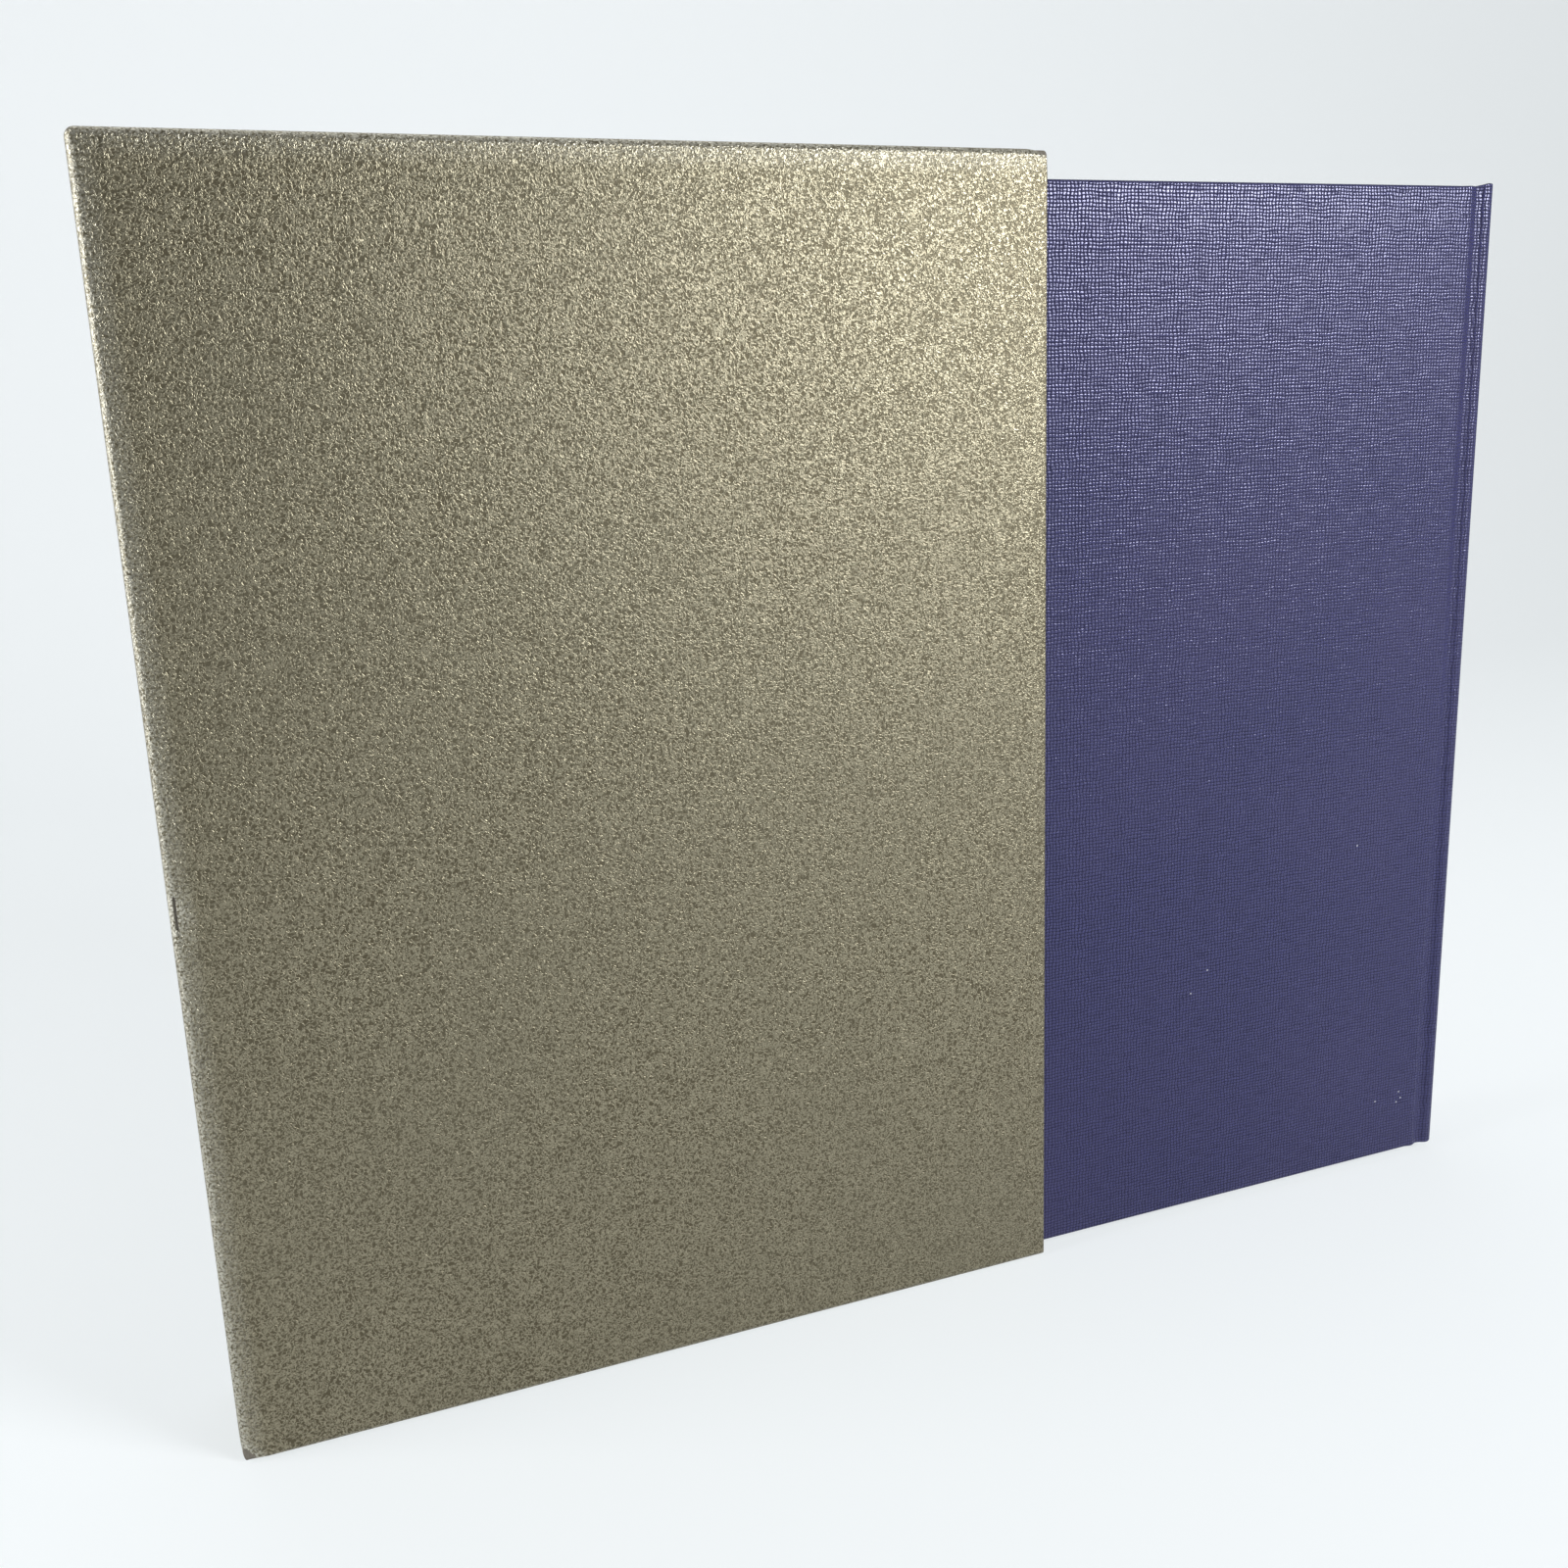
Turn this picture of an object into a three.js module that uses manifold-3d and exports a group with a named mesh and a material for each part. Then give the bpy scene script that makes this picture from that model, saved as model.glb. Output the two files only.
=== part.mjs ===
// A slipcase covered in bronze cloth paper, with its own cloth-bound book drawn most of the way out.
// Millimetres, +Z up. The origin is the centre of the case's underside, and +X points out of the mouth.
import * as THREE from 'three';
import { mergeVertices } from 'three/addons/utils/BufferGeometryUtils.js';
import Module from 'manifold-3d';

const wasm = await Module();
wasm.setup();

// Pages of the book
const page_height = 299;
const pages_thickness = 23.6;
const endpaper_leaf = 0.2;

// Hard cover of the book
const book_board = 2.8;
const book_board_width = 215.2;
const book_cloth = 0.4;
const square = 2.7;
const cloth_turn_in = 15;
const joint_width = 7.2;
const joint_depth = 1.8;
const shoulder_width = 3.2;
const shoulder_drop = 0.15;
const shoulder_height = 2.8;
const back_rise = 2.5;
const spine_strip = 0.8;
const head_rise = 0.8;
const tail_drop = 0.2;
const hollow_back = 0.5;
const joint_gauze = 0.4;
const gauze_flange = 25;
const band_height = 2;
const band_width = 2.2;

// Walls of the slipcase
const case_board = 1.8;
const case_cloth = 0.3;
const case_lining = 0.2;
const case_turn_in = 15;
const case_edge_radius = 2.2;

// Play between the book and the slipcase
const side_play = 0.7;
const slide_gap = 0.25;
const head_play = 3.75;
const end_play = 0.6;
const mouth_margin = 0.4;
const book_drawn = 157.2;

// Finishes seen in the photograph, and plain ones for what is hidden
const bronze_cloth = new THREE.MeshStandardMaterial({ color: 0x8f8768, roughness: 0.55, metalness: 0.35 });
const plain_paper = new THREE.MeshStandardMaterial({ color: 0xd9d5c8, roughness: 0.9, metalness: 0 });
const grey_board = new THREE.MeshStandardMaterial({ color: 0x9a948a, roughness: 0.95, metalness: 0 });
const purple_cloth = new THREE.MeshStandardMaterial({ color: 0x5d5c88, roughness: 0.8, metalness: 0 });
const page_paper = new THREE.MeshStandardMaterial({ color: 0xece7da, roughness: 0.9, metalness: 0 });
const gauze = new THREE.MeshStandardMaterial({ color: 0xe4e0d2, roughness: 0.95, metalness: 0 });
const band_cord = new THREE.MeshStandardMaterial({ color: 0x6b6a92, roughness: 0.8, metalness: 0 });

// Thickness of the book, from the outside in
const endpaper = 2 * endpaper_leaf;
const under_board = book_cloth + book_board;
const under_turn_in = under_board + book_cloth;
const page_side = under_turn_in + endpaper;
const book_thickness = 2 * page_side + pages_thickness;

// Depth of the book, measured from the fore-edge of its cover
const board_end = book_cloth + book_board_width;
const joint_bottom = board_end + joint_width / 2;
const shoulder_crest = board_end + joint_width;
const shoulder_end = shoulder_crest + shoulder_width;
const book_depth = shoulder_end + back_rise;

// Outside of the slipcase
const mouth_wall = 2 * case_cloth + case_board;
const end_wall = case_cloth + case_board + case_lining;
const board_inside = case_cloth + case_board;
const case_depth = end_wall + end_play + book_depth + mouth_margin;
const case_thickness = book_thickness + 2 * (side_play + mouth_wall);
const cover_height = page_height + 2 * (square + book_cloth);
const case_height = 2 * mouth_wall + slide_gap + tail_drop + cover_height + head_rise + head_play;
const closed_end = -case_depth / 2;
const mouth = case_depth / 2;

// Where the book stands in the case
const fore_edge = closed_end + end_wall + end_play + book_drawn;
const cover_bottom = mouth_wall + slide_gap + tail_drop;
const cover_top = cover_bottom + cover_height;
const page_bottom = cover_bottom + book_cloth + square;
const page_top = page_bottom + page_height;
const window_bottom = cover_bottom + cloth_turn_in;
const window_top = cover_top - cloth_turn_in;

// A straight bar along one axis. Its outline runs in (x, y) for z, (y, z) for x and (z, x) for y.
const along_x = new THREE.Vector3(1, 0, 0);
const along_y = new THREE.Vector3(0, 1, 0);
const along_z = new THREE.Vector3(0, 0, 1);
const axis_turns = {
  x: new THREE.Matrix4().makeBasis(along_y, along_z, along_x),
  y: new THREE.Matrix4().makeBasis(along_z, along_x, along_y),
  z: new THREE.Matrix4(),
};

function bar(outline, axis, from, to) {
  const shape = new THREE.Shape(outline);
  const geometry = new THREE.ExtrudeGeometry(shape, { depth: to - from, bevelEnabled: false });
  const position = geometry.getAttribute('position');
  for (let i = 0; i < position.count; i += 1) {
    position.setZ(i, position.getZ(i) > 0 ? to : from);
  }
  geometry.applyMatrix4(axis_turns[axis]);
  return solid(geometry);
}

function solid(geometry) {
  geometry.deleteAttribute('normal');
  geometry.deleteAttribute('uv');
  const merged = mergeVertices(geometry);
  const vertProperties = merged.getAttribute('position').array;
  const triVerts = Uint32Array.from(merged.getIndex().array);
  return new wasm.Manifold(new wasm.Mesh({ numProp: 3, vertProperties, triVerts }));
}

function block(x0, x1, y0, y1, z0, z1) {
  return bar([point(x0, y0), point(x1, y0), point(x1, y1), point(x0, y1)], 'z', z0, z1);
}

function point(x, y) {
  return new THREE.Vector2(x, y);
}

function mesh(name, shape, material) {
  const { vertProperties, triVerts } = shape.getMesh();
  const geometry = new THREE.BufferGeometry();
  geometry.setAttribute('position', new THREE.BufferAttribute(vertProperties, 3));
  geometry.setIndex(new THREE.BufferAttribute(triVerts, 1));
  geometry.computeVertexNormals();
  const made = new THREE.Mesh(geometry, material);
  made.name = name;
  return made;
}

const model = new THREE.Group();

// Slipcase: boards, covering and lining, all cut from one block with rounded edges
const edge_steps = 6;

function rounded(low_a, high_a, low_b, high_b, radius, corners) {
  const outline = [];
  const centres = [[high_a, high_b, 0], [low_a, high_b, 1], [low_a, low_b, 2], [high_a, low_b, 3]];
  for (const [a, b, quarter] of centres) {
    if (!corners.includes(quarter)) {
      outline.push(point(a, b));
      continue;
    }
    const centre_a = a === high_a ? a - radius : a + radius;
    const centre_b = b === high_b ? b - radius : b + radius;
    for (let step = 0; step <= edge_steps; step += 1) {
      const angle = (quarter + step / edge_steps) * Math.PI / 2;
      outline.push(point(centre_a + radius * Math.cos(angle), centre_b + radius * Math.sin(angle)));
    }
  }
  return outline;
}

// The case's outer form, moved inwards by an inset, and open only in being cut square at the mouth.
function case_block(inset) {
  const radius = case_edge_radius - inset;
  const [x0, x1] = [closed_end + inset, mouth - inset];
  const [y0, y1] = [-case_thickness / 2 + inset, case_thickness / 2 - inset];
  const [z0, z1] = [inset, case_height - inset];
  const round_ends = bar(rounded(y0, y1, z0, z1, radius, [0, 1, 2, 3]), 'x', x0, x1);
  const round_plan = bar(rounded(x0, x1, y0, y1, radius, [1, 2]), 'z', z0, z1);
  const round_side = bar(rounded(z0, z1, x0, x1, radius, [2, 3]), 'y', y0, y1);
  return round_ends.intersect(round_plan).intersect(round_side);
}

// The room inside the case, at a given depth of wall, from one x to another.
function case_room(wall, x0, x1) {
  const y = case_thickness / 2 - wall;
  return block(x0, x1, -y, y, wall, case_height - wall);
}

const board_block = case_block(case_cloth);
const board_mouth = mouth - case_cloth;
const inner_y = case_thickness / 2 - board_inside;
const inner_top = case_height - board_inside;
const inner_end = closed_end + board_inside;
const outer_y = case_thickness / 2;

function board_piece(x0, x1, y0, y1, z0, z1) {
  return board_block.intersect(block(x0, x1, y0, y1, z0, z1));
}

const case_boards = {
  case_front_board: board_piece(closed_end, board_mouth, -outer_y, -inner_y, 0, case_height),
  case_back_board: board_piece(closed_end, board_mouth, inner_y, outer_y, 0, case_height),
  case_top_board: board_piece(closed_end, board_mouth, -inner_y, inner_y, inner_top, case_height),
  case_bottom_board: board_piece(closed_end, board_mouth, -inner_y, inner_y, 0, board_inside),
  case_end_board: board_piece(closed_end, inner_end, -inner_y, inner_y, board_inside, inner_top),
};
for (const [name, shape] of Object.entries(case_boards)) {
  model.add(mesh(name, shape, grey_board));
}

const turn_in_start = mouth - case_turn_in;
const turn_in = case_room(board_inside, turn_in_start, mouth)
  .subtract(case_room(mouth_wall, turn_in_start, mouth));
const covering = case_block(0)
  .subtract(board_block)
  .subtract(case_room(board_inside, inner_end, mouth))
  .add(turn_in);
model.add(mesh('case_covering', covering, bronze_cloth));

const lining = case_room(board_inside, inner_end, turn_in_start)
  .subtract(case_room(board_inside + case_lining, closed_end + end_wall, turn_in_start));
model.add(mesh('case_lining', lining, plain_paper));

// Book: its outline from above, as the line that the outside of the cloth follows over joint and spine
const curve_steps = 8;
const arc_steps = 14;

// Half of the line is drawn by curves, from the board's end to the shoulder, with depth below the side.
const joint_fall = new THREE.CubicBezierCurve(
  point(board_end, 0),
  point(board_end + joint_width / 4, 0),
  point(board_end + joint_width / 4, joint_depth),
  point(joint_bottom, joint_depth),
);
const joint_climb = new THREE.CubicBezierCurve(
  point(joint_bottom, joint_depth),
  point(shoulder_crest - joint_width / 4, joint_depth),
  point(shoulder_crest - joint_width / 4, shoulder_drop),
  point(shoulder_crest, shoulder_drop),
);
const back_half = book_thickness / 2 - shoulder_height;
const back_lean = 2 * Math.atan(back_rise / back_half);
const shoulder_turn = new THREE.CubicBezierCurve(
  point(shoulder_crest, shoulder_drop),
  point(shoulder_crest + shoulder_width / 2, shoulder_drop),
  point(shoulder_end - shoulder_height / 2 * Math.tan(back_lean), shoulder_height / 2),
  point(shoulder_end, shoulder_height),
);

// An arc across the back of something, from one side to the other, standing out by a rise.
function back_arc(edge, rise, side) {
  const half = book_thickness / 2 - side;
  const radius = (half * half + rise * rise) / (2 * rise);
  const reach = Math.asin(half / radius);
  const line = [];
  for (let step = 0; step <= arc_steps; step += 1) {
    const angle = reach * (2 * step / arc_steps - 1);
    const out = edge + rise - radius + radius * Math.cos(angle);
    line.push(point(out, book_thickness / 2 + radius * Math.sin(angle)));
  }
  return line;
}

function mirrored(line) {
  return line.map((at) => point(at.x, book_thickness - at.y)).reverse();
}

const joint_line = [...joint_fall.getPoints(curve_steps), ...joint_climb.getPoints(curve_steps).slice(1)];
const half_line = [...joint_line, ...shoulder_turn.getPoints(curve_steps).slice(1)];
const spine_arc = back_arc(shoulder_end, back_rise, shoulder_height);
const outside_line = [...half_line, ...spine_arc.slice(1, -1), ...mirrored(half_line)];

// A line moved towards the pages by a distance, each point square to its neighbours.
function inwards(line, distance) {
  return line.map((at, i) => {
    const before = line[Math.max(i - 1, 0)];
    const after = line[Math.min(i + 1, line.length - 1)];
    const along = after.clone().sub(before).normalize();
    return point(at.x - along.y * distance, at.y + along.x * distance);
  });
}

// The stretch of a whole line that runs round the spine, from shoulder crest to shoulder crest.
function spine_part(line) {
  return line.slice(joint_line.length - 1, line.length - joint_line.length + 1);
}

// Book outlines are drawn from the fore-edge and the front side, and stand in the case by this.
function book_bar(outline, z0, z1) {
  const placed = outline.map((at) => point(fore_edge + at.x, at.y - book_thickness / 2));
  return bar(placed, 'z', z0, z1);
}

function book_block(u0, u1, v0, v1, z0, z1) {
  return book_bar([point(u0, v0), point(u1, v0), point(u1, v1), point(u0, v1)], z0, z1);
}

const thick = book_thickness;
const far_board = thick - under_board;
const far_turn_in = thick - under_turn_in;
const spine_top = cover_top + head_rise;
const spine_bottom = cover_bottom - tail_drop;

// The cloth as one sheet folded back at both fore-edges.
const folded_sheet = [
  point(cloth_turn_in, under_board),
  point(book_cloth, under_board),
  point(book_cloth, book_cloth),
  ...inwards(outside_line, book_cloth),
  point(book_cloth, thick - book_cloth),
  point(book_cloth, far_board),
  point(cloth_turn_in, far_board),
  point(cloth_turn_in, far_turn_in),
  point(0, far_turn_in),
  point(0, thick),
  ...[...outside_line].reverse(),
  point(0, 0),
  point(0, under_turn_in),
  point(cloth_turn_in, under_turn_in),
];

// The same sheet at head and tail, where it is folded in over the boards and the spine strip.
const doubled_joint = inwards(outside_line, 2 * book_cloth);
const doubled_spine = inwards(outside_line, 2 * book_cloth + spine_strip);
const doubled_sheet = [
  point(0, under_turn_in),
  point(board_end, under_turn_in),
  ...doubled_joint.slice(0, joint_line.length),
  ...spine_part(doubled_spine),
  ...doubled_joint.slice(-joint_line.length),
  point(board_end, far_turn_in),
  point(0, far_turn_in),
  point(0, thick),
  ...[...outside_line].reverse(),
  point(0, 0),
];

// Head and tail as seen from the side: the spine stands a little past the boards at both.
const spine_rise_start = joint_bottom;
const side_outline = [
  point(cover_bottom, 0),
  point(cover_top, 0),
  point(cover_top, spine_rise_start),
  point(spine_top, shoulder_crest),
  point(spine_top, book_depth),
  point(spine_bottom, book_depth),
  point(spine_bottom, shoulder_crest),
  point(cover_bottom, spine_rise_start),
].map((at) => point(at.x, fore_edge + at.y));
const side_form = bar(side_outline, 'y', -thick / 2, thick / 2);

const board_bottom = cover_bottom + book_cloth;
const board_top = cover_top - book_cloth;
const front_board = book_block(book_cloth, board_end, book_cloth, under_board, board_bottom, board_top);
const back_board = book_block(book_cloth, board_end, far_board, thick - book_cloth, board_bottom, board_top);
model.add(mesh('book_front_board', front_board, grey_board));
model.add(mesh('book_back_board', back_board, grey_board));

const strip_outside = spine_part(inwards(outside_line, book_cloth));
const strip_inside = spine_part(inwards(outside_line, book_cloth + spine_strip));
const strip_outline = [...strip_outside, ...strip_inside.reverse()];
const strip = book_bar(strip_outline, spine_bottom + book_cloth, spine_top - book_cloth);
model.add(mesh('book_spine_strip', strip, grey_board));

const cloth = book_bar(folded_sheet, spine_bottom, spine_top)
  .add(book_bar(doubled_sheet, window_top, spine_top))
  .add(book_bar(doubled_sheet, spine_bottom, window_bottom))
  .intersect(side_form)
  .subtract(front_board)
  .subtract(back_board)
  .subtract(strip);
model.add(mesh('book_cloth', cloth, purple_cloth));

// Pages: rounded at the back and hollow at the fore-edge by as much
const page_fore = book_cloth + square;
const page_rise = back_rise;
const behind_pages = 2 * book_cloth + spine_strip + hollow_back + joint_gauze;
const page_back = book_depth - behind_pages - page_rise;
const back_line = back_arc(page_back, page_rise, page_side);
const fore_line = back_arc(page_fore, page_rise, page_side);
const pages = book_bar([...back_line, ...fore_line.reverse()], page_bottom, page_top);
model.add(mesh('book_pages', pages, page_paper));

// Gauze glued to the back of the pages, with a flange under the endpaper on each board
const flange_start = board_end - gauze_flange;
const gauze_corner = page_back + joint_gauze;
const gauze_outline = [
  point(flange_start, under_turn_in),
  point(page_back, under_turn_in),
  ...back_line,
  point(page_back, far_turn_in),
  point(flange_start, far_turn_in),
  point(flange_start, far_board),
  point(gauze_corner, far_board),
  ...inwards(back_line, -joint_gauze).reverse(),
  point(gauze_corner, under_board),
  point(flange_start, under_board),
];
model.add(mesh('book_spine_lining', book_bar(gauze_outline, window_bottom, window_top), gauze));

// Endpapers: a pasted leaf that fills the frame of turned-in cloth, and a leaf lying on the pages
function endpaper_shape(paste_low, paste_high, leaf_low, leaf_high) {
  const leaves = book_block(page_fore, page_back, leaf_low, leaf_high, page_bottom, page_top);
  const paste = book_block(cloth_turn_in, flange_start, paste_low, paste_high, window_bottom, window_top);
  return leaves.add(paste);
}

const front_endpaper = endpaper_shape(under_board, under_turn_in, under_turn_in, page_side);
const back_endpaper = endpaper_shape(far_turn_in, far_board, thick - page_side, far_turn_in);
model.add(mesh('book_front_endpaper', front_endpaper, page_paper));
model.add(mesh('book_back_endpaper', back_endpaper, page_paper));

// Head and tail bands, standing on the ends of the pages along their back
const band_outline = [...back_line, ...inwards(back_line, band_width).reverse()];
model.add(mesh('book_head_band', book_bar(band_outline, page_top, page_top + band_height), band_cord));
model.add(mesh('book_tail_band', book_bar(band_outline, page_bottom - band_height, page_bottom), band_cord));

export default model;
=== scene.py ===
# A slipcase in bronze cloth paper with its cloth-bound book drawn most of the way out.
import math
from functools import cache

import bmesh
import bpy
from mathutils import Matrix, Vector, noise
from mathutils.geometry import interpolate_bezier, intersect_point_line


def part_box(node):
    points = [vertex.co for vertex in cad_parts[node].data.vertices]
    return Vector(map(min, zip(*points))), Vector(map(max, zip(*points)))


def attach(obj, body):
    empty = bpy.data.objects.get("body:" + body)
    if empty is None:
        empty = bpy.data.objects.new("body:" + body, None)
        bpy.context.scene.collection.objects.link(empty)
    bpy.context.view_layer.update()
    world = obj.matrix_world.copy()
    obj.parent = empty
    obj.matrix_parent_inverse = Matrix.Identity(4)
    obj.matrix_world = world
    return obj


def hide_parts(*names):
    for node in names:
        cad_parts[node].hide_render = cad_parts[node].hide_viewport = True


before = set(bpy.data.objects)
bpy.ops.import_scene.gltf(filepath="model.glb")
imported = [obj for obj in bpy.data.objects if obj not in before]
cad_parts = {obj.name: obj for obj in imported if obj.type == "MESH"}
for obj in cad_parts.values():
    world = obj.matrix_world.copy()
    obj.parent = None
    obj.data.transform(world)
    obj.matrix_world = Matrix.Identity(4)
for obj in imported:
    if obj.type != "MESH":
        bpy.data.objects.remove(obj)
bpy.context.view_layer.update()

# Covering of the case
# One sheet of bronze-coloured paper with a crinkled cloth grain, glued round the boards.
# It is folded in like a parcel at the closed end's corners and turned in at the mouth.
MM = 0.001
CASE_LOW, CASE_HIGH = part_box("case_covering")
CASE_MIDDLE = (CASE_LOW + CASE_HIGH) / 2
CASE_BOARD_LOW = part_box("case_front_board")[0]
COVERING = CASE_BOARD_LOW.y - CASE_LOW.y
CASE_EDGE_RADIUS = 2.2 * MM
CASE_EDGE_STEPS = 8
MOUTH_EDGE_RADIUS = 0.6 * MM
MOUTH_EDGE_STEPS = 3
CASE_TURN_IN = 15 * MM
MOUTH_WALL = 2.4 * MM
MOUTH_START = CASE_HIGH.x - MOUTH_EDGE_RADIUS
CASE_CELL = 4.5 * MM
SAME_PLACE = 0.01 * MM


def add_node(tree, kind, inputs=None, **settings):
    node = tree.nodes.new(kind)
    for name, value in settings.items():
        setattr(node, name, value)
    for name, value in (inputs or {}).items():
        if isinstance(value, bpy.types.NodeSocket):
            tree.links.new(value, node.inputs[name])
        else:
            node.inputs[name].default_value = value
    return node


def new_material(name, **shader_values):
    material = bpy.data.materials.new(name)
    material.use_nodes = True
    shader = material.node_tree.nodes["Principled BSDF"]
    for socket, value in shader_values.items():
        shader.inputs[socket.replace("_", " ")].default_value = value
    return material, material.node_tree, shader


def object_coordinates(tree, scale=(1, 1, 1)):
    place = add_node(tree, "ShaderNodeTexCoord").outputs["Object"]
    return add_node(tree, "ShaderNodeMapping", {"Vector": place, "Scale": scale}).outputs[0]


def noise_value(tree, vector, scale, detail=2.0, distortion=0.0, kind="FBM"):
    inputs = {"Vector": vector, "Scale": scale, "Detail": detail, "Distortion": distortion}
    return add_node(tree, "ShaderNodeTexNoise", inputs, noise_type=kind).outputs[0]


def ranged(tree, value, low, high, to_low=0.0, to_high=1.0):
    inputs = {"Value": value, "From Min": low, "From Max": high, "To Min": to_low, "To Max": to_high}
    return add_node(tree, "ShaderNodeMapRange", inputs).outputs[0]


def calculate(tree, operation, a, b=0.0):
    return add_node(tree, "ShaderNodeMath", {0: a, 1: b}, operation=operation).outputs[0]


def blended(tree, factor, a, b, blend_type="MIX"):
    node = add_node(tree, "ShaderNodeMix", data_type="RGBA", blend_type=blend_type)
    for socket, value in ((node.inputs[0], factor), (node.inputs[6], a), (node.inputs[7], b)):
        if isinstance(value, bpy.types.NodeSocket):
            tree.links.new(value, socket)
        else:
            socket.default_value = value
    return node.outputs[2]


def set_bump(tree, shader, height, strength, distance):
    inputs = {"Height": height, "Strength": strength, "Distance": distance}
    bump = add_node(tree, "ShaderNodeBump", inputs)
    tree.links.new(bump.outputs[0], shader.inputs["Normal"])


def bronze_cloth_paper():
    material, tree, shader = new_material("bronze_cloth_paper", Metallic=0.75)
    place = object_coordinates(tree)
    wrinkles = noise_value(tree, place, 1150.0, 1.5, 0.6)
    wrinkles = calculate(tree, "ABSOLUTE", calculate(tree, "SUBTRACT", wrinkles, 0.5))
    specks = noise_value(tree, place, 1700.0, 1.0)
    crests = ranged(tree, wrinkles, 0.0, 0.13, 1.0, 0.0)
    grain = calculate(tree, "MULTIPLY", crests, ranged(tree, specks, 0.1, 0.5))
    colour = blended(tree, grain, (0.098, 0.083, 0.050, 1), (0.314, 0.284, 0.198, 1))
    clouds = noise_value(tree, place, 16.0, 4.0)
    colour = blended(tree, ranged(tree, clouds, 0.4, 0.7, 0.0, 0.25), colour, (0.185, 0.168, 0.117, 1))
    # Pale cream for real wear, and a painted highlight along the closed end's and the top's front edges
    wear_and_edge_highlight = add_node(tree, "ShaderNodeAttribute", attribute_name="wear_and_edge_highlight").outputs["Fac"]
    wear_and_edge_highlight = calculate(tree, "MULTIPLY", wear_and_edge_highlight, ranged(tree, specks, 0.35, 0.6))
    colour = blended(tree, wear_and_edge_highlight, colour, (0.66, 0.64, 0.55, 1))
    tree.links.new(colour, shader.inputs["Base Color"])
    tree.links.new(ranged(tree, grain, 0.0, 0.8, 0.48, 0.31), shader.inputs["Roughness"])
    set_bump(tree, shader, grain, 1.0, 0.06 * MM)
    return material


def slice_along(mesh, axis, places):
    direction = Vector((0, 0, 0))
    direction[axis] = 1
    for place in places:
        everything = mesh.verts[:] + mesh.edges[:] + mesh.faces[:]
        bmesh.ops.bisect_plane(
            mesh, geom=everything, dist=1e-7, plane_co=direction * place, plane_no=direction
        )


def even_places(low, high, cell):
    count = max(1, round((high - low) / cell))
    return [low + (high - low) * step / count for step in range(1, count)]


def finished_piece(name, mesh, body, material):
    data = bpy.data.meshes.new(name)
    mesh.to_mesh(data)
    mesh.free()
    data.materials.append(material)
    piece = bpy.data.objects.new(name, data)
    bpy.context.scene.collection.objects.link(piece)
    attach(piece, body)
    return piece


def smooth_faces(mesh):
    for face in mesh.faces:
        face.smooth = True


def set_in(point, inset):
    """A point of the case's outline moved in to the given depth below the flat sides."""
    half = (CASE_HIGH.y - CASE_LOW.y) / 2 - inset
    y = min(max(point.y, CASE_MIDDLE.y - half), CASE_MIDDLE.y + half)
    z = min(max(point.z, CASE_LOW.z + inset), CASE_HIGH.z - inset)
    return Vector((point.x, y, z))


# Wear of the covering: a slit with frayed cloth round it in the closed end's front edge, a knocked corner
# at the mouth, a crushed one at the foot of the closed end, and a short crease near the closed end's top.
# The closed end's front edge and the top's front edge also get a pale painted highlight.
SLIT_LOW = 141.5 * MM
SLIT_HIGH = 149.5 * MM
SLIT_CUTS = [SLIT_LOW + (SLIT_HIGH - SLIT_LOW) * share for share in (0, 0.12, 0.3, 0.5, 0.7, 0.88, 1)]
SLIT_FROM = 0.95 * MM
SLIT_TO = 1.8 * MM
FRAYED_LENGTH = 7 * MM
FRAYED_WIDTH = 4 * MM
# Painted highlight: pale cream painted along the rounded front edges of the closed end and the top
EDGE_HIGHLIGHT_WIDTH = 3.6 * MM
END_EDGE_HIGHLIGHT = 0.8
TOP_EDGE_HIGHLIGHT = 0.7
KNOCK_SIZE = 6 * MM
KNOCK_DROP = 0.8 * MM
KNOCK_PUSH = 0.3 * KNOCK_DROP
CRUSH_PUSH = Vector((0.5 * MM, 0.7 * MM, 0))
CREASE_X = CASE_LOW.x + 6.8 * MM
CREASE_HALF_WIDTH = 0.5 * MM
CREASE_LENGTH = 9 * MM
CREASE_HEIGHT = 0.14 * MM


def falloff(distance, reach):
    share = max(0.0, 1.0 - distance / reach)
    return share * share * (3 - 2 * share)


def rounded_sleeve():
    """The case's outside with its rounded edges, open at the mouth and cut into cells."""
    mesh = bmesh.new()
    bmesh.ops.create_cube(mesh, size=1)
    bmesh.ops.scale(mesh, vec=CASE_HIGH - CASE_LOW, verts=mesh.verts)
    bmesh.ops.translate(mesh, vec=CASE_MIDDLE, verts=mesh.verts)
    mouth_face = [face for face in mesh.faces if face.normal.x > 0.9]
    bmesh.ops.delete(mesh, geom=mouth_face, context="FACES_ONLY")
    sharp = [edge for edge in mesh.edges if not edge.is_boundary]
    bmesh.ops.bevel(
        mesh, geom=sharp, offset=CASE_EDGE_RADIUS, offset_type="OFFSET", segments=CASE_EDGE_STEPS,
        profile=0.5, affect="EDGES", material=-1, clamp_overlap=True,
    )
    flat_low = CASE_LOW + Vector((1, 1, 1)) * CASE_EDGE_RADIUS
    flat_high = CASE_HIGH - Vector((1, 1, 1)) * CASE_EDGE_RADIUS
    slice_along(mesh, 0, even_places(flat_low.x, MOUTH_START, CASE_CELL) + [MOUTH_START])
    slice_along(mesh, 0, [CREASE_X - CREASE_HALF_WIDTH, CREASE_X, CREASE_X + CREASE_HALF_WIDTH])
    slice_along(mesh, 1, even_places(flat_low.y, flat_high.y, CASE_CELL))
    slice_along(mesh, 2, even_places(flat_low.z, flat_high.z, CASE_CELL) + SLIT_CUTS)
    for vertex in mesh.verts:
        vertex.co.x = min(vertex.co.x, MOUTH_START)
    return mesh


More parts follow.
